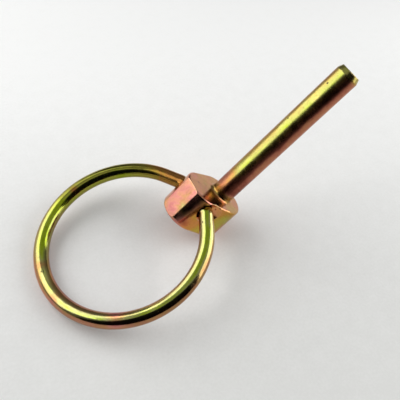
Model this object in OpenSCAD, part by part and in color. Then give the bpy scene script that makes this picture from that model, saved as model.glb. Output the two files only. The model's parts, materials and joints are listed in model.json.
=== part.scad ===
// Lynch pin: a round shank with a forged head, and a spring wire ring that swings in the head.
// The pin is drawn lying along +X with its flat side up, and is then tipped into its resting pose.

/* [Shank] */
// Diameter of the round shank
shank_diameter = 6; // [4.8:0.1:7.2]
// Length of the shank from the head's face to the tip
shank_length = 43; // [35:0.5:52]
// How much the lead-in takes off the tip's radius
lead_in_depth = 0.5; // [0.2:0.1:1]
// Length of the lead-in at the tip
lead_in_length = 1.2; // [0.4:0.1:2.5]
// Radius of the fillet between the shank and the head's face
root_fillet = 0.8; // [0.3:0.1:1.2]

/* [Head] */
// Length of the head along the shank
head_length = 10.4; // [8.6:0.1:13]
// Radius of the head's large round, which is centred on the shank
large_radius = 6.6; // [5.4:0.1:8]
// Radius of the head's small round, above the shank
small_radius = 5.8; // [4.8:0.1:7]
// Height of the small round's centre above the shank's axis
small_rise = 6.2; // [5:0.1:7.6]
// How much the flat takes off the top of the small round
flat_depth = 0.6; // [0.3:0.1:0.9]
// Rounding of the head's edge on the shank side
front_rounding = 0.5; // [0.2:0.1:1]
// Rounding of the head's edge at the back
back_rounding = 1.2; // [0.6:0.1:2]
// Depth of the worn flat on the head's back edge, on which the pin rests
heel_flat = 0.2; // [0.1:0.05:0.4]

/* [Cross bore] */
// Distance of the bore behind the head's face
bore_setback = 3.7; // [3.1:0.1:5]
// Height of the bore above the small round's centre
bore_lift = 1.1; // [0:0.1:1.6]
// Play between the wire and the bore, all round
bore_clearance = 0.35; // [0.25:0.05:0.45]
// Depth of the chamfer at each mouth of the bore
mouth_depth = 0.8; // [0.4:0.1:1]
// Angle by which the bore is out of square with the head
bore_skew = 7.5; // [0:0.5:10]
// Angle from the shank round to the plane of the skew, where the ring comes to rest
rest_swing = 143.5; // [130:0.5:160]

/* [Snap ring] */
// Diameter of the spring wire
wire_diameter = 3.7; // [3:0.1:4.4]
// Radius of the ring, measured to the middle of the wire
ring_radius = 20.4; // [17:0.1:25]
// Angle between each straight end and the bore
end_angle = 29.5; // [27:0.5:32]
// Inside radius of the bend where each end turns into the bore
bend_inner_radius = 1; // [0.5:0.1:1.5]
// How far inside the bore's mouth each bend starts
bend_depth = 0.8; // [0.5:0.1:0.8]
// Gap between the two wire ends inside the bore
end_gap = 2; // [1:0.1:4]

/* [Hidden] */
$fn = 96;
overlap = 0.01;
surplus_angle = 2;

// Radii and half sizes
shank_radius = shank_diameter / 2;
wire_radius = wire_diameter / 2;
bore_radius = wire_radius + bore_clearance;
bore_height = small_rise + bore_lift;
flat_height = small_rise + small_radius - flat_depth;
head_half_width = sqrt(pow(small_radius, 2) - pow(bore_lift, 2));

// The head's two rounds are joined by strips along their common tangents
side_taper = asin((large_radius - small_radius) / small_rise);
side_length = small_rise * cos(side_taper);

// The wire runs out of the bore, round a bend, along a straight end and into the ring
bend_radius = bend_inner_radius + wire_radius;
bend_start = head_half_width - bend_depth;
straight_length = ((ring_radius - bend_radius) * sin(end_angle) - bend_start) / cos(end_angle);
ring_reach = bend_radius * (1 - cos(end_angle)) + straight_length * sin(end_angle)
    + ring_radius * cos(end_angle);

// At rest the back edge of the head and the far side of the ring touch the floor together
heel_back = head_length - back_rounding - bore_setback;
heel_drop = large_radius - back_rounding + bore_height;
ring_span = ring_reach * cos(bore_skew) + ring_radius;
tip_run = -heel_back - ring_span * cos(rest_swing);
tip_drop = heel_drop + ring_span * sin(rest_swing);
shank_rise = atan2(tip_drop, tip_run)
    + asin((back_rounding - heel_flat - wire_radius) / norm([tip_drop, tip_run]));
ring_turn = rest_swing + shank_rise;
bore_floor_height = wire_radius - ring_span * sin(ring_turn);

// The origin is on the floor under the middle of everything
tip_radius = shank_radius - lead_in_depth;
ring_end = ring_span * cos(ring_turn) - wire_radius;
shank_end = (bore_setback + shank_length) * cos(shank_rise) + (bore_height + tip_radius) * sin(shank_rise);
middle_x = (ring_end + shank_end) / 2;
middle_y = -ring_reach * sin(bore_skew);

// Section of the head from its middle out to one edge: across the head, then along the shank
module edge_section(reach) {
    translate([0, -head_length + back_rounding])
        square([reach, head_length - back_rounding - front_rounding]);
    translate([0, -front_rounding - overlap])
        square([reach - front_rounding, front_rounding + overlap]);
    translate([0, -head_length])
        square([reach - back_rounding, back_rounding + overlap]);
    translate([reach - front_rounding, -front_rounding])
        circle(front_rounding);
    translate([reach - back_rounding, -head_length + back_rounding])
        circle(back_rounding);
}

// A round of the head, with both its edges rounded
module head_round(radius) {
    rotate([0, 90, 0])
        rotate_extrude()
            intersection() {
                edge_section(radius);
                translate([0, -head_length])
                    square([radius, head_length]);
            }
}

// One tapered side of the head, between the tangent points of its two rounds
module head_side() {
    rotate([side_taper, 0, 0])
        rotate([0, 0, -90])
            mirror([1, 0, 0])
                linear_extrude(side_length)
                    edge_section(large_radius);
}

// Head of the pin without its bore
module head() {
    difference() {
        union() {
            head_round(large_radius);
            translate([0, 0, small_rise])
                head_round(small_radius);
            head_side();
            mirror([0, 1, 0])
                head_side();
        }
        translate([-1.5 * head_length, -2 * large_radius, flat_height])
            cube([2 * head_length, 4 * large_radius, 2 * large_radius]);
    }
}

// Shank with its lead-in at the tip and its fillet at the head
module shank() {
    straight = shank_length - lead_in_length;
    rotate([0, 90, 0]) {
        translate([0, 0, -head_length / 2])
            cylinder(r = shank_radius, h = straight + head_length / 2);
        translate([0, 0, straight])
            cylinder(r1 = shank_radius, r2 = shank_radius - lead_in_depth, h = lead_in_length);
        rotate_extrude()
            difference() {
                translate([shank_radius - overlap, -overlap])
                    square([root_fillet + overlap, root_fillet + overlap]);
                translate([shank_radius + root_fillet, root_fillet])
                    circle(root_fillet);
            }
    }
}

// Chamfer at the bore's mouth on the +Y side, which gives the bent wire room
module mouth() {
    reach = mouth_depth + wire_radius;
    translate([0, head_half_width - mouth_depth, 0])
        rotate([-90, 0, 0])
            cylinder(r1 = bore_radius, r2 = bore_radius + reach, h = reach);
}

// Bore with its two chamfered mouths, along Y
module bore() {
    rotate([90, 0, 0])
        cylinder(r = bore_radius, h = 4 * large_radius, center = true);
    mouth();
    mirror([0, 1, 0])
        mouth();
}

// Puts what is drawn round the bore, with the bore along Y, in its place in the head
module at_bore() {
    translate([-bore_setback, 0, bore_height])
        rotate([0, -rest_swing, 0])
            rotate([0, 0, -bore_skew])
                children();
}

// Tips the whole pin into its resting pose
module at_rest() {
    translate([-middle_x, -middle_y, bore_floor_height])
        rotate([0, -shank_rise, 0])
            translate([bore_setback, 0, -bore_height])
                children();
}

// Wire that arrives along -Y and turns round a centre on the +X side, starting at the origin
module turn(radius, angle) {
    translate([radius, 0, 0])
        rotate([0, 0, 180])
            rotate_extrude(angle = angle)
                translate([radius, 0])
                    circle(wire_radius);
}

// Straight wire from the origin along -Y
module straight(length) {
    rotate([90, 0, 0])
        cylinder(r = wire_radius, h = length);
}

// Half of a bend, up to its middle plane at Y = 0, and what follows it along the wire
module half_bend() {
    half_angle = end_angle / 2;
    intersection() {
        rotate([0, 0, half_angle])
            translate([-bend_radius, 0, 0])
                mirror([0, 1, 0])
                    turn(bend_radius, half_angle + surplus_angle);
        translate([-4 * bend_radius, -4 * bend_radius, -2 * wire_radius])
            cube([8 * bend_radius, 4 * bend_radius, 4 * wire_radius]);
    }
    rotate([0, 0, half_angle])
        translate([-bend_radius, 0, 0])
            children();
}

// Half of the wire, from its end inside the bore round to the middle of the ring's far side
module wire_half() {
    intersection() {
        translate([bend_radius, bend_start, 0])
            rotate([0, 0, -end_angle / 2]) {
                half_bend()
                    straight(bend_start - end_gap / 2);
                mirror([0, 1, 0])
                    half_bend() {
                        straight(straight_length);
                        translate([0, -straight_length, 0])
                            turn(ring_radius, 180 - end_angle + surplus_angle);
                    }
            }
        translate([-ring_radius, 0, -2 * wire_radius])
            cube([4 * ring_radius, 2 * ring_radius, 4 * wire_radius]);
    }
}

module pin() {
    color("goldenrod")
        difference() {
            at_rest()
                difference() {
                    union() {
                        head();
                        shank();
                    }
                    at_bore()
                        bore();
                }
            translate([-3 * head_length, -2 * large_radius, -head_length])
                cube([6 * head_length, 4 * large_radius, head_length]);
        }
}

module snap_ring() {
    color("darkkhaki")
        at_rest()
            at_bore() {
                wire_half();
                mirror([0, 1, 0])
                    wire_half();
            }
}

pin();
snap_ring();
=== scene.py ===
"""Looks of the lynch pin: yellow zinc plated steel, on a pale sheet under two soft lamps."""

import json
import math
from collections import namedtuple

import bpy
from mathutils import Matrix, Vector

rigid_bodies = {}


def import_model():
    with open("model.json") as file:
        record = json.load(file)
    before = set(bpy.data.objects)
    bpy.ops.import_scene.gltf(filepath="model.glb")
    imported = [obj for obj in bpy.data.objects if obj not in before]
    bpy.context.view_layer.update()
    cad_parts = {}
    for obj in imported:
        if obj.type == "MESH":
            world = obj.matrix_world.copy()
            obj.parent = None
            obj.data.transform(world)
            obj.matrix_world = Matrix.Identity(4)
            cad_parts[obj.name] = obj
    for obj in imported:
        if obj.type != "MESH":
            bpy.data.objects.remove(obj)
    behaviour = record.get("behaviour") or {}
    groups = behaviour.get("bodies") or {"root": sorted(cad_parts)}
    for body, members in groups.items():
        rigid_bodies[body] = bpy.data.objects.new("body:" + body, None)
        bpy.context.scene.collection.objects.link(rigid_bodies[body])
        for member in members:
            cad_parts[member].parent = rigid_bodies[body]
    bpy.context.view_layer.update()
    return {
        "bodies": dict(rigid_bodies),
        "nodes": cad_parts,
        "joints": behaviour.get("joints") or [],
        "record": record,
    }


MM = 0.001

# Camera, in the frame of the part: place, turns in degrees, lens and the nearest distance it sees
CAMERA_PLACE = Vector((-41.477, -61.299, 106.837)) * MM
CAMERA_HEADING = -35.596
CAMERA_TILT = 39.468
CAMERA_ROLL = 14.035
CAMERA_LENS = 43.445
SENSOR_WIDTH = 36
CAMERA_NEAREST = 5 * MM

# Lamps are upright panels: azimuth and distance of the middle, half width in azimuth,
# lowest and highest elevation as the pin sees them, and brightness
LAMP_TARGET = Vector((-5, 0, 8)) * MM
LEFT_LAMP = dict(azimuth=142, distance=0.30, half_angle=36, low=14, high=56, radiance=3.1)
RIGHT_LAMP = dict(azimuth=343, distance=0.32, half_angle=27, low=3, high=50, radiance=2.9)

# How bright the room is by direction. A fade has two ends: sines of the elevation for the ceiling
# and the sill's top, and cosines of the angle from the sill's middle for its sides
WALL_LIGHT = 0.3
CEILING_LIGHT = 0.72
CEILING_FADE = (0.5, 0.9)
SILL_LIGHT = 1.7
SILL_AZIMUTH = 125
SILL_SIDE_FADE = (0.78, 0.92)
SILL_TOP_FADE = (0.30, 0.22)
# The dark part of the room is a round patch with a soft edge
DARK_LIGHT = 0.02
DARK_AZIMUTH = 255
DARK_ELEVATION = 15
DARK_HALF_ANGLE = 61
DARK_SOFTNESS = 0.04

# Background that the camera alone sees beyond the lit part of the sheet. Reflections keep the room,
# whose dark part gives the metal its dark bands
BACKGROUND_COLOUR = (0.80, 0.80, 0.795)
BACKGROUND_START = 150 * MM
BACKGROUND_FULL = 300 * MM

FLOOR_SIZE = 4.0
FLOOR_DROP = 0.02 * MM
FLOOR_ROUGHNESS = 0.9
# Painted light: the sheet's colour is paler on its far side and darker on its near side, standing in for
# the lamps' light falling off
FLOOR_PAINTED_LIGHT_TOWARDS = 88
FLOOR_PAINTED_DIM_AT = -70 * MM
FLOOR_PAINTED_LIT_AT = 90 * MM
FLOOR_PAINTED_DIM_COLOUR = (0.765, 0.770, 0.750)
FLOOR_PAINTED_LIT_COLOUR = (0.965, 0.970, 0.960)
# Its grain: noise, and how far each moves the tone between the painted dim and lit colours
CLOUDS = dict(size=4 * MM, detail=4)
CLOUDS_SPREAD = 0.3
FIBRES = dict(size=0.7 * MM, detail=2)
FIBRES_SPREAD = 0.4

# Colour of the chromate film as it grows thicker, and the tint that makes it yellower
FILM = [
    (0.00, (0.210, 0.285, 0.005)),
    (0.12, (0.275, 0.345, 0.028)),
    (0.24, (0.305, 0.325, 0.105)),
    (0.36, (0.310, 0.280, 0.120)),
    (0.48, (0.320, 0.225, 0.085)),
    (0.60, (0.355, 0.175, 0.085)),
    (0.74, (0.380, 0.158, 0.122)),
    (0.87, (0.330, 0.106, 0.104)),
    (1.00, (0.190, 0.052, 0.048)),
]
YELLOW_TINT = (1.0, 0.97, 0.30)
# Tint of the reflection at a grazing angle
GRAZING_TINT = (1.0, 0.93, 0.86)

# Noise on both pieces, with how far the mottle moves the film's thickness
MOTTLE = dict(size=1.2 * MM, detail=4, roughness=0.65)
MOTTLE_SPREAD = 0.20
STAINS = dict(size=0.45 * MM, detail=4)
STAIN_TINT = (0.70, 0.60, 0.52)
STAIN_RAMP = (0.50, 0.80, 0.0, 0.8)
WAVES = dict(size=3.5 * MM, detail=1)
GRAIN = dict(size=0.12 * MM, detail=2)
ROUGH_PATCHES = dict(size=2 * MM, detail=2)
ROUGH_PATCHES_FADE = (0.3, 0.7)

# Heights of the surface's relief, as shares of a millimetre
WAVE_HEIGHT = 0.05
GRAIN_HEIGHT = 0.004
PIT_HEIGHT = 0.06

# Pits: small ones in the few Voronoi cells above a limit, and single ones that are flat inside
PIT_COLOUR = (0.05, 0.03, 0.02)
PIT_DARKNESS = 0.9
PIT_CELL = 2.4 * MM
PIT_CELL_FADE = (0.10, 0.04)
PIT_CELL_LIMIT = 0.90
PIT_FLAT_SHARE = 0.4

# Single pits and tints have a place and a radius in millimetres, and so do the painted shades. Tints add
# their last number to the film's thickness, and painted shades take theirs off its brightness, or add
# painted light where it is below 0
RING_PITS = [
    (-36.5, -0.34, 3.70, 0.28),
    (-37.0, -0.22, 3.65, 0.22),
    (0.63, -5.67, 14.32, 0.25),
]
RING_TINTS = [
    (-23.9, 18.2, 7.2, 1.9, 0.45),
    (-36.4, 1.6, 3.7, 1.8, 0.30),
    (-35.9, -7.9, 3.9, 2.2, 0.22),
    (-25.2, -18.6, 7.0, 3.4, 0.34),
]
# Painted light: brighter spots that widen the lamp's highlights in three places on the ring
RING_PAINTED_LIGHT = [
    (-17.7, -20.6, 9.3, 4.0, -0.30),
    (-25.2, -18.6, 7.0, 4.5, -0.40),
    (-35.8, -2.0, 3.7, 3.0, -0.40),
]
PIN_PITS = [
    (30.95, 2.94, 43.47, 0.28),
    (3.82, 4.48, 16.57, 0.30),
    (6.69, -3.20, 13.91, 0.28),
    (5.88, -2.56, 13.22, 0.22),
]
PIN_TINTS = [
    (-1.6, 0.2, 14.7, 2.2, -0.22),
    (-4.0, 2.0, 12.0, 3.0, 0.16),
    (8.0, -3.9, 8.5, 4.6, -0.38),
    (1.1, -3.3, 7.8, 3.5, -0.20),
    (-2.0, -2.2, 11.0, 2.4, 0.25),
    (28.6, 2.0, 40.4, 1.9, 0.16),
]
PIN_PAINTED_SHADE_AND_LIGHT = [
    # A brighter spot where the shank's highlight falls: partly the film's own pale spot, partly a painted
    # highlight
    (28.6, 2.0, 40.4, 1.9, -0.35),
    # Painted shade: a dark reflection painted along the head's edge beside the ring's bore
    (2.0, -1.65, 17.3, 1.9, 0.80),
    (1.1, -1.5, 16.2, 1.9, 0.80),
    (0.1, -1.2, 15.2, 1.9, 0.85),
    (-0.8, -1.1, 14.3, 1.9, 0.85),
    (-1.8, -1.1, 13.2, 1.9, 0.75),
    # Painted shade in the mouth of the bore
    (1.5, -2.5, 11.6, 1.1, 0.75),
    # Painted light on the head's flat, and painted shade on its front face around the shank's root
    (-2.6, 2.6, 13.4, 4.5, -0.14),
    (5.4, 2.6, 15.4, 4.5, 0.14),
]

# The ring at rest: tilt of its plane, radius, and distance from the joint to the point that its film
# is laid out around. The bore's skew puts that point about 2.6 mm beside the ring's own middle
RING_TILT = 16.2
RING_RADIUS = 20.4 * MM
RING_REACH = 20.235 * MM

# Angles around the ring are in degrees, 0 away from the head and above 0 on the far side.
# Turns about the wire are 0 at its top and above 0 on the outside of the ring.
# Film around the ring: angle, least thickness, yellowness and how much brighter its outer edge is, which
# is a painted reflection
FILM_AROUND_RING = [
    (-150, 0.07, 0.0, 0.65),
    (-128, 0.09, 0.1, 0.10),
    (-110, 0.12, 0.0, 0.00),
    (-90, 0.13, 0.2, 0.00),
    (-60, 0.18, 0.0, 0.15),
    (-40, 0.18, 0.0, 0.15),
    (-20, 0.26, 0.2, 0.60),
    (0, 0.16, 0.2, 0.65),
    (12, 0.02, 0.3, 0.50),
    (38, 0.02, 0.3, 0.35),
    (55, 0.06, 0.8, 0.15),
    (72, 0.26, 0.8, 0.00),
    (105, 0.18, 0.8, 0.00),
    (130, 0.26, 0.9, 0.00),
    (150, 0.56, 0.8, 0.00),
]
# A ramp over an angle or turn has its start, its end, the value before and the value after.
# Turn at which the film is thinnest, and how much thicker it grows for each degree from there
RING_THINNEST_TURN = [(-45, 5, 10, -25), (60, 110, 0, -35)]
RING_OUTER_SLOPE = [(-60, -10, 0.0135, 0.0070), (40, 80, 0.0, -0.0058), (-125, -148, 0.0, -0.0065)]
RING_INNER_SLOPE = [(-25, 15, 0.0082, 0.0060), (40, 65, 0.0, -0.0050)]
RING_OUTER_MOST = 0.47
RING_YELLOW_RAMP = (80, 50, 0.0, 1.0)
# Painted shade: a darker stripe along the far side of the ring that hides the lamp's highlight there. Its
# turn, its width, where it begins and how dark it is
RING_PAINTED_SHADE_TURN = (115, 140, 6, -14)
RING_PAINTED_SHADE_WIDTH = (30, 10, 0.0, 1.0)
RING_PAINTED_SHADE_START = (44, 68, 0.0, 1.0)
RING_PAINTED_SHADE_DEPTH = (120, 150, 0.62, 0.55)
# Turns over which the painted brighter reflection on the ring's outer edge comes in
RING_PAINTED_EDGE_RAMP = (32, 55, 0.0, 1.0)
# Slow noise, and how far it moves the angle and the film's thickness
RING_DRIFT = dict(size=5 * MM, detail=2.5, distortion=0.5)
RING_ANGLE_SPREAD = 12
RING_FILM_SPREAD = 0.3
RING_GRAIN_STRETCH = 40
RING_ROUGHNESS = (0.11, 0.18)

# Turns about the shank are in degrees, 0 towards the head's flat and above 0 on the far side.
# The film is thinnest at one turn, and grows thicker for each degree to the far and near sides
SHANK_THINNEST_TURN = -17
SHANK_LEAST = 0.20
SHANK_MOST = 0.95
SHANK_FAR_SLOPE = 0.0065
SHANK_FAR_MOST = 0.38
SHANK_NEAR_SLOPE = 0.020
SHANK_NEAR_MOST = 0.70
SHANK_NEAR_DROP = (40, 62, 0.0, -0.10)
# Along the shank from the head's face: a thicker film near the root, and films of their own
# on the collar of the root and on the tip
ROOT_RAMP = (10 * MM, 4 * MM, 0.0, 0.42)
COLLAR_RAMP = (3.0 * MM, 1.2 * MM, 0.0, 0.85)
COLLAR_FILM = 0.46
TIP_RAMP = (41.0 * MM, 42.3 * MM, 0.0, 0.85)
TIP_FILM = 0.34
# Brightness: painted shade that darkens a fringe on the near side, widening its dark reflection, and
# painted light that brightens it beyond the fringe
NEAR_PAINTED_SHADE_START = (22, 34, 0.0, 1.0)
NEAR_PAINTED_SHADE_END = (54, 42, 0.0, 1.0)
NEAR_PAINTED_SHADE_DARKNESS = 0.5
SHANK_PAINTED_LIGHT_RAMP = (52, 66, 0.95, 1.12)
SHANK_YELLOW = 0.5
# The head begins at its face. Its film is blotchy all round, and its near face is yellower
HEAD_RAMP = (0.4 * MM, -0.2 * MM, 0.0, 1.0)
HEAD_BLOTCHES = dict(size=4.5 * MM, detail=3, distortion=0.8)
HEAD_LEAST = 0.28
HEAD_SPREAD = 0.8
HEAD_GAIN = 1.6
HEAD_YELLOW = 0.9
HEAD_NEAR_FACE = (-0.60, -0.90, 0.0, 1.0)
# Slow noise, and how far it moves the turn and the shank's film
PIN_DRIFT = dict(size=5 * MM, detail=2.5, distortion=0.6)
PIN_TURN_SPREAD = 20
PIN_FILM_SPREAD = 0.24
# Share of the length along the shank that the grain leaves out, which draws it out into lines
PIN_GRAIN_SQUEEZE = 0.97
PIN_ROUGHNESS = (0.13, 0.21)
SHANK_ROUGHER = 0.08
# Worn edges, which also carry a painted highlight, found where a rounded normal differs from the true one
WORN_RADIUS = 0.35 * MM
WORN_SAMPLES = 6
WEAR_AND_HIGHLIGHT_RAMP = (0.985, 0.90, 0.0, 0.7)
WEAR_AND_HIGHLIGHT_COLOUR = (0.62, 0.48, 0.24)

SIDEWAYS = Vector((0, 1, 0))
FULL_TURN = 360

# What a piece's film and finish are at each place, with painted shade and light in its brightness and a
# painted highlight along its worn edges; normal is None where nothing rounds the edges
Finish = namedtuple("Finish", "thickness gain yellow grain rough edge normal")


def solid(colour):
    """A plain colour with its alpha; a socket stays as it is."""
    if isinstance(colour, tuple):
        return (*colour, 1)
    return colour


class Graph:
    """Adds nodes to one node tree and joins them."""

    def __init__(self, tree):
        self.tree = tree
        self.tree.nodes.clear()

    def add(self, kind, inputs=(), **settings):
        node = self.tree.nodes.new(kind)
        for name, value in settings.items():
            setattr(node, name, value)
        for key, value in dict(inputs).items():
            if isinstance(value, bpy.types.NodeSocket):
                self.tree.links.new(value, node.inputs[key])
            else:
                node.inputs[key].default_value = value
        return node

    def math(self, operation, *values):
        return self.add("ShaderNodeMath", enumerate(values), operation=operation).outputs[0]

    def total(self, first, *others):
        for value in others:
            first = self.math("ADD", first, value)
        return first

    def product(self, first, *others):
        for value in others:
            first = self.math("MULTIPLY", first, value)
        return first

    def vector(self, operation, *values, output=0):
        node = self.add("ShaderNodeVectorMath", enumerate(values), operation=operation)
        return node.outputs[output]

    def dot(self, first, second):
        return self.vector("DOT_PRODUCT", first, second, output="Value")

    def scale(self, vector, factor):
        node = self.add("ShaderNodeVectorMath", {0: vector, "Scale": factor}, operation="SCALE")
        return node.outputs[0]

    def blend(self, factor, first, second):
        """The first number where the factor is 0, and the second where it is 1."""
        node = self.add("ShaderNodeMix", {0: factor, 2: first, 3: second}, data_type="FLOAT")
        return node.outputs[0]

    def mix(self, factor, first, second, blend_type="MIX"):
        """The first colour where the factor is 0, and what the blend type makes of both where it is 1."""
        inputs = {0: factor, 6: solid(first), 7: solid(second)}
        return self.add("ShaderNodeMix", inputs, data_type="RGBA", blend_type=blend_type).outputs[2]

    def ramp(self, value, start, end, low=0.0, high=1.0):
        """Low before the start and high after the end, with a smooth step between them."""
        inputs = {"Value": value, "From Min": start, "From Max": end, "To Min": low, "To Max": high}
        return self.add("ShaderNodeMapRange", inputs, interpolation_type="SMOOTHSTEP").outputs["Result"]

    def steps(self, value, rows):
        """Sum of several ramps of one value."""
        return self.total(*(self.ramp(value, *row) for row in rows))

    def noise(self, place, size, detail=2.0, roughness=0.5, distortion=0.0):
        inputs = {"Vector": place, "Scale": 1 / size, "Detail": detail}
        inputs.update({"Roughness": roughness, "Distortion": distortion})
        return self.add("ShaderNodeTexNoise", inputs).outputs["Fac"]

    def centred(self, noise, spread):
        """Noise from 0 to 1, spread out evenly about 0."""
        return self.math("MULTIPLY_ADD", noise, spread, -spread / 2)

    def colours(self, value, stops):
        """Colour of a value by stops, each a position and a colour."""
        node = self.add("ShaderNodeValToRGB", {"Fac": value})
        elements = node.color_ramp.elements
        elements.remove(elements[1])
        elements[0].position = stops[0][0]
        elements[0].color = (*stops[0][1], 1)
        for position, colour in stops[1:]:
            elements.new(position).color = (*colour, 1)
        return node.outputs["Color"]

    def camera_ray(self):
        """1 for rays that come straight from the camera."""
        return self.add("ShaderNodeLightPath").outputs["Is Camera Ray"]

    def mix_shaders(self, factor, first, second):
        inputs = {0: factor, 1: first.outputs[0], 2: second.outputs[0]}
        return self.add("ShaderNodeMixShader", inputs).outputs[0]


def direction(azimuth, elevation):
    a = math.radians(azimuth)
    e = math.radians(elevation)
    return Vector((math.cos(e) * math.cos(a), math.cos(e) * math.sin(a), math.sin(e)))


def make_camera():
    data = bpy.data.cameras.new("camera")
    data.lens = CAMERA_LENS
    data.sensor_width = SENSOR_WIDTH
    data.clip_start = CAMERA_NEAREST
    camera = bpy.data.objects.new("camera", data)
    turn = Matrix.Rotation(math.radians(CAMERA_HEADING), 4, "Z")
    turn = turn @ Matrix.Rotation(math.radians(CAMERA_TILT), 4, "X")
    turn = turn @ Matrix.Rotation(math.radians(CAMERA_ROLL), 4, "Z")
    camera.matrix_world = Matrix.Translation(CAMERA_PLACE) @ turn
    bpy.context.scene.collection.objects.link(camera)
    bpy.context.scene.camera = camera


def make_lamp(name, azimuth, distance, half_angle, low, high, radiance):
    bottom, top = (distance * math.tan(math.radians(angle)) for angle in (low, high))
    data = bpy.data.lights.new(name, "AREA")
    data.shape = "RECTANGLE"
    data.size = 2 * distance * math.tan(math.radians(half_angle))
    data.size_y = top - bottom
    data.energy = math.pi * radiance * data.size * data.size_y
    lamp = bpy.data.objects.new(name, data)
    towards = direction(azimuth, 0)
    lamp.location = LAMP_TARGET + towards * distance + Vector((0, 0, (bottom + top) / 2))
    lamp.rotation_euler = towards.to_track_quat("Z", "Y").to_euler()
    lamp.visible_camera = False
    bpy.context.scene.collection.objects.link(lamp)


def room_light(g):
    """Brightness of the room in the direction of a ray."""
    towards = g.add("ShaderNodeTexCoord").outputs["Generated"]
    height = g.add("ShaderNodeSeparateXYZ", {0: towards}).outputs["Z"]
    to_sill = g.dot(towards, direction(SILL_AZIMUTH, 0))
    sill = g.product(g.ramp(to_sill, *SILL_SIDE_FADE), g.ramp(height, *SILL_TOP_FADE))
    wall = g.blend(sill, WALL_LIGHT, SILL_LIGHT)
    room = g.blend(g.ramp(height, *CEILING_FADE), wall, CEILING_LIGHT)
    to_dark = g.dot(towards, direction(DARK_AZIMUTH, DARK_ELEVATION))
    dark_edge = math.cos(math.radians(DARK_HALF_ANGLE))
    shade = g.ramp(to_dark, dark_edge - DARK_SOFTNESS, dark_edge + DARK_SOFTNESS, 1.0, DARK_LIGHT)
    return g.product(room, shade)


def make_world():
    world = bpy.data.worlds.new("room")
    world.use_nodes = True
    bpy.context.scene.world = world
    g = Graph(world.node_tree)
    light = g.add("ShaderNodeBackground", {"Strength": room_light(g)})
    background = g.add("ShaderNodeBackground", {"Color": solid(BACKGROUND_COLOUR)})
    surface = g.mix_shaders(g.camera_ray(), light, background)
    g.add("ShaderNodeOutputWorld", {"Surface": surface})


def floor_material():
    material = bpy.data.materials.new("sheet")
    material.use_nodes = True
    g = Graph(material.node_tree)
    place = g.add("ShaderNodeTexCoord").outputs["Object"]
    # Painted light: the colour darkens towards the sheet's near side, as the lamps' light would fall off
    painted_light_share = g.ramp(g.dot(place, direction(FLOOR_PAINTED_LIGHT_TOWARDS, 0)), FLOOR_PAINTED_DIM_AT, FLOOR_PAINTED_LIT_AT)
    clouds = g.centred(g.noise(place, **CLOUDS), CLOUDS_SPREAD)
    fibres = g.centred(g.noise(place, **FIBRES), FIBRES_SPREAD)
    colour = g.mix(g.total(painted_light_share, clouds, fibres), FLOOR_PAINTED_DIM_COLOUR, FLOOR_PAINTED_LIT_COLOUR)
    sheet = g.add("ShaderNodeBsdfPrincipled", {"Roughness": FLOOR_ROUGHNESS, "Base Color": colour})
    background = g.add("ShaderNodeEmission", {"Color": solid(BACKGROUND_COLOUR)})
    distance = g.vector("LENGTH", place, output="Value")
    beyond = g.ramp(distance, BACKGROUND_START, BACKGROUND_FULL)
    surface = g.mix_shaders(g.product(beyond, g.camera_ray()), sheet, background)
    g.add("ShaderNodeOutputMaterial", {"Surface": surface})
    return material


def make_floor():
    half = FLOOR_SIZE / 2
    corners = [
        (-half, -half, -FLOOR_DROP),
        (half, -half, -FLOOR_DROP),
        (half, half, -FLOOR_DROP),
        (-half, half, -FLOOR_DROP),
    ]
    mesh = bpy.data.meshes.new("floor")
    mesh.from_pydata(corners, [], [(0, 1, 2, 3)])
    mesh.materials.append(floor_material())
    floor = bpy.data.objects.new("floor", mesh)
    bpy.context.scene.collection.objects.link(floor)


def spot(g, place, x, y, z, radius, flat_share=0.0):
    """1 at a point in millimetres and over the flat share of the radius, falling to 0 at the radius."""
    distance = g.vector("DISTANCE", place, Vector((x, y, z)) * MM, output="Value")
    return g.ramp(distance, radius * MM, flat_share * radius * MM)


def pit_depth(g, place, pits):
    """Depth of the single pits and of small ones scattered about."""
    cells = g.add("ShaderNodeTexVoronoi", {"Vector": place, "Scale": 1 / PIT_CELL})
    pick = g.add("ShaderNodeSeparateColor", {0: cells.outputs["Color"]}).outputs[0]
    chosen = g.math("GREATER_THAN", pick, PIT_CELL_LIMIT)
    depth = g.product(g.ramp(cells.outputs["Distance"], *PIT_CELL_FADE), chosen)
    for pit in pits:
        depth = g.math("MAXIMUM", depth, spot(g, place, *pit, flat_share=PIT_FLAT_SHARE))
    return depth


def film_colour(g, place, finish, tints, painted_shade_and_light):
    """Colour of the film, with its single tints, and its painted shade and light."""
    thickness = finish.thickness
    for *spot_row, shift in tints:
        thickness = g.math("MULTIPLY_ADD", spot(g, place, *spot_row), shift, thickness)
    thickness = g.total(thickness, g.centred(g.noise(place, **MOTTLE), MOTTLE_SPREAD))
    gain = finish.gain
    for *spot_row, share in painted_shade_and_light:
        gain = g.product(gain, g.math("MULTIPLY_ADD", spot(g, place, *spot_row), -share, 1.0))
    colour = g.scale(g.colours(thickness, FILM), gain)
    return g.mix(finish.yellow, colour, g.mix(1.0, colour, YELLOW_TINT, blend_type="MULTIPLY"))


def marked_colour(g, place, colour, edge, depth):
    """A colour with fine stains, worn edges that also carry a painted highlight, and dark pits."""
    stained = g.mix(1.0, colour, STAIN_TINT, blend_type="MULTIPLY")
    colour = g.mix(g.ramp(g.noise(place, **STAINS), *STAIN_RAMP), colour, stained)
    colour = g.mix(edge, colour, WEAR_AND_HIGHLIGHT_COLOUR)
    return g.mix(g.product(depth, PIT_DARKNESS), colour, PIT_COLOUR)


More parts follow.
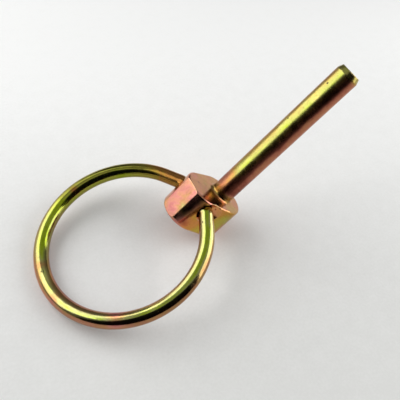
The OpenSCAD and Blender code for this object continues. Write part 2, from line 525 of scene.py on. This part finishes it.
def relief(g, place, finish, depth):
    """Normal of a surface with slight waves, grain and pits."""
    waves = g.product(g.noise(place, **WAVES), WAVE_HEIGHT)
    height = g.total(waves, g.product(finish.grain, GRAIN_HEIGHT))
    height = g.math("SUBTRACT", height, g.product(depth, PIT_HEIGHT))
    inputs = {"Strength": 1.0, "Distance": 1 * MM, "Height": height}
    if finish.normal is not None:
        inputs["Normal"] = finish.normal
    return g.add("ShaderNodeBump", inputs).outputs[0]


def zinc(name, finish_at, frame, pits, tints, painted_shade_and_light):
    """Yellow zinc plate, with the film and finish that finish_at gives each place, painted shade and
    light included.
    """
    material = bpy.data.materials.new(name)
    material.use_nodes = True
    g = Graph(material.node_tree)
    coordinates = g.add("ShaderNodeTexCoord")
    place = coordinates.outputs["Object"]
    finish = finish_at(g, place, coordinates.outputs["Normal"], frame)
    depth = pit_depth(g, place, pits)
    colour = film_colour(g, place, finish, tints, painted_shade_and_light)
    shader = g.add("ShaderNodeBsdfPrincipled", {
        "Base Color": marked_colour(g, place, colour, finish.edge, depth),
        "Metallic": 1.0,
        "Roughness": finish.rough,
        "Specular Tint": solid(GRAZING_TINT),
        "Normal": relief(g, place, finish, depth),
    })
    g.add("ShaderNodeOutputMaterial", {"Surface": shader.outputs[0]})
    return material


def ring_place(g, place, facing, joint):
    """Angle around the ring, turn about the wire, and place out from the wire's middle and above it."""
    tilt = math.radians(RING_TILT)
    outward = Vector((-math.cos(tilt), 0, -math.sin(tilt)))
    upward = SIDEWAYS.cross(outward)
    offset = g.vector("SUBTRACT", place, joint + outward * RING_REACH)
    x = g.dot(offset, outward)
    y = g.dot(offset, SIDEWAYS)
    angle = g.math("DEGREES", g.math("ARCTAN2", y, x))
    distance = g.math("SQRT", g.total(g.product(x, x), g.product(y, y)))
    out = g.math("SUBTRACT", distance, RING_RADIUS)
    above = g.dot(offset, upward)
    radial = g.vector("NORMALIZE", g.vector("ADD", g.scale(outward, x), g.scale(SIDEWAYS, y)))
    turn = g.math("DEGREES", g.math("ARCTAN2", g.dot(facing, radial), g.dot(facing, upward)))
    return angle, turn, out, above


def film_around_ring(g, angle):
    """Least thickness, yellowness and the outer edge's painted brighter reflection, read as one ramp's
    red, green and blue.
    """
    stops = [(stop_angle / FULL_TURN + 0.5, values) for stop_angle, *values in FILM_AROUND_RING]
    position = g.math("MULTIPLY_ADD", angle, 1 / FULL_TURN, 0.5)
    return g.add("ShaderNodeSeparateColor", {0: g.colours(position, stops)}).outputs


def ring_thickness(g, angle, turn, thinnest):
    """Film on the ring: thinnest along one line around it, and thicker to both sides of that line."""
    beyond = g.math("SUBTRACT", turn, g.steps(angle, RING_THINNEST_TURN))
    outside = g.product(g.math("MAXIMUM", beyond, 0), g.steps(angle, RING_OUTER_SLOPE))
    outside = g.math("MINIMUM", outside, RING_OUTER_MOST)
    inside = g.math("MAXIMUM", g.product(beyond, -1), 0)
    inside = g.product(inside, g.steps(angle, RING_INNER_SLOPE))
    return g.total(thinnest, outside, inside)


def ring_painted_shade_and_light(g, angle, turn, edge_painted_light):
    """Brightness of the ring's film, with a painted shade along a stripe on its far side and a painted
    brighter reflection on its outer edge.
    """
    from_far_painted_shade = g.math("ABSOLUTE", g.math("SUBTRACT", turn, g.ramp(angle, *RING_PAINTED_SHADE_TURN)))
    # Painted shade that hides the lamp's highlight along the far side
    far_painted_shade_band = g.product(g.ramp(angle, *RING_PAINTED_SHADE_START), g.ramp(from_far_painted_shade, *RING_PAINTED_SHADE_WIDTH))
    far_painted_shade = g.product(far_painted_shade_band, g.ramp(angle, *RING_PAINTED_SHADE_DEPTH))
    brighter = g.product(g.ramp(turn, *RING_PAINTED_EDGE_RAMP), edge_painted_light)
    return g.total(g.math("SUBTRACT", 1.0, far_painted_shade), brighter)


def ring_grain(g, angle, out, above):
    """Fine lines along the wire."""
    along = g.product(g.math("RADIANS", angle), RING_RADIUS / RING_GRAIN_STRETCH)
    drawn_out = g.add("ShaderNodeCombineXYZ", {0: along, 1: out, 2: above}).outputs[0]
    return g.noise(drawn_out, **GRAIN)


def ring_finish(g, place, facing, frame):
    joint = Vector(frame["joints"][0]["pos_m"])
    angle, turn, out, above = ring_place(g, place, facing, joint)
    drift = g.noise(place, **RING_DRIFT)
    angle = g.total(angle, g.centred(drift, RING_ANGLE_SPREAD))
    thinnest, yellow, edge_painted_light = film_around_ring(g, angle)
    thickness = ring_thickness(g, angle, turn, thinnest)
    return Finish(
        thickness=g.total(thickness, g.centred(drift, RING_FILM_SPREAD)),
        gain=ring_painted_shade_and_light(g, angle, turn, edge_painted_light),
        yellow=g.product(yellow, g.ramp(turn, *RING_YELLOW_RAMP)),
        grain=ring_grain(g, angle, out, above),
        rough=g.ramp(g.noise(place, **ROUGH_PATCHES), *ROUGH_PATCHES_FADE, *RING_ROUGHNESS),
        edge=0.0,
        normal=None,
    )


def shank_thickness(g, along, beyond, near_turn):
    """Film on the shank, by the turn about it and the place along it."""
    far_side = g.product(g.math("MAXIMUM", beyond, 0), SHANK_FAR_SLOPE)
    far_side = g.math("MINIMUM", far_side, SHANK_FAR_MOST)
    near_side = g.math("MINIMUM", g.product(near_turn, SHANK_NEAR_SLOPE), SHANK_NEAR_MOST)
    near_side = g.total(near_side, g.ramp(near_turn, *SHANK_NEAR_DROP))
    film = g.total(far_side, near_side, g.ramp(along, *ROOT_RAMP), SHANK_LEAST)
    film = g.math("MINIMUM", film, SHANK_MOST)
    film = g.blend(g.ramp(along, *COLLAR_RAMP), film, COLLAR_FILM)
    return g.blend(g.ramp(along, *TIP_RAMP), film, TIP_FILM)


def shank_painted_shade_and_light(g, near_turn):
    """Brightness of the shank's film, with painted shade on a fringe of its near side and painted light
    beyond it.
    """
    near_painted_shade = g.product(g.ramp(near_turn, *NEAR_PAINTED_SHADE_START), g.ramp(near_turn, *NEAR_PAINTED_SHADE_END))
    return g.math("MULTIPLY_ADD", near_painted_shade, -NEAR_PAINTED_SHADE_DARKNESS, g.ramp(near_turn, *SHANK_PAINTED_LIGHT_RAMP))


def wear_and_highlight_on_edges(g):
    """How worn each place is, which also sets where a highlight is painted along the edges, and the
    normal that rounds the edges.
    """
    rounded = g.add("ShaderNodeBevel", {"Radius": WORN_RADIUS}, samples=WORN_SAMPLES).outputs[0]
    true_normal = g.add("ShaderNodeNewGeometry").outputs["Normal"]
    return g.ramp(g.dot(rounded, true_normal), *WEAR_AND_HIGHLIGHT_RAMP), rounded


def pin_finish(g, place, facing, frame):
    mounts = {mount["name"]: mount for mount in frame["record"]["mounts"]}
    axis = Vector(mounts["shank"]["axis"])
    towards_flat = Vector((-axis.z, 0, axis.x))
    offset = g.vector("SUBTRACT", place, Vector(mounts["head_seat"]["pos_m"]))
    along = g.dot(offset, axis)
    aside = g.dot(facing, SIDEWAYS)
    turn = g.math("DEGREES", g.math("ARCTAN2", aside, g.dot(facing, towards_flat)))
    drift = g.noise(place, **PIN_DRIFT)
    turn = g.total(turn, g.centred(drift, PIN_TURN_SPREAD))
    beyond = g.math("SUBTRACT", turn, SHANK_THINNEST_TURN)
    near_turn = g.math("MAXIMUM", g.product(beyond, -1), 0)
    on_shank = g.total(shank_thickness(g, along, beyond, near_turn), g.centred(drift, PIN_FILM_SPREAD))
    on_head = g.math("MULTIPLY_ADD", g.noise(place, **HEAD_BLOTCHES), HEAD_SPREAD, HEAD_LEAST)
    head = g.ramp(along, *HEAD_RAMP)
    squeezed = g.vector("SUBTRACT", offset, g.scale(axis, g.product(along, PIN_GRAIN_SQUEEZE)))
    rough = g.ramp(g.noise(place, **ROUGH_PATCHES), *ROUGH_PATCHES_FADE, *PIN_ROUGHNESS)
    edge, rounded = wear_and_highlight_on_edges(g)
    return Finish(
        thickness=g.blend(head, on_shank, on_head),
        gain=g.blend(head, shank_painted_shade_and_light(g, near_turn), HEAD_GAIN),
        yellow=g.blend(head, SHANK_YELLOW, g.product(g.ramp(aside, *HEAD_NEAR_FACE), HEAD_YELLOW)),
        grain=g.noise(squeezed, **GRAIN),
        rough=g.math("MULTIPLY_ADD", g.math("SUBTRACT", 1.0, head), SHANK_ROUGHER, rough),
        edge=edge,
        normal=rounded,
    )


def dress(frame):
    """Gives each CAD node its material."""
    materials = {
        "snap_ring": zinc("ring_zinc", ring_finish, frame, RING_PITS, RING_TINTS, RING_PAINTED_LIGHT),
        "pin": zinc("pin_zinc", pin_finish, frame, PIN_PITS, PIN_TINTS, PIN_PAINTED_SHADE_AND_LIGHT),
    }
    for node, material in materials.items():
        for slot in frame["nodes"][node].material_slots:
            slot.material = material


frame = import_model()
make_camera()
make_world()
make_lamp("left_lamp", **LEFT_LAMP)
make_lamp("right_lamp", **RIGHT_LAMP)
make_floor()
dress(frame)
bpy.context.scene.view_settings.view_transform = "Standard"
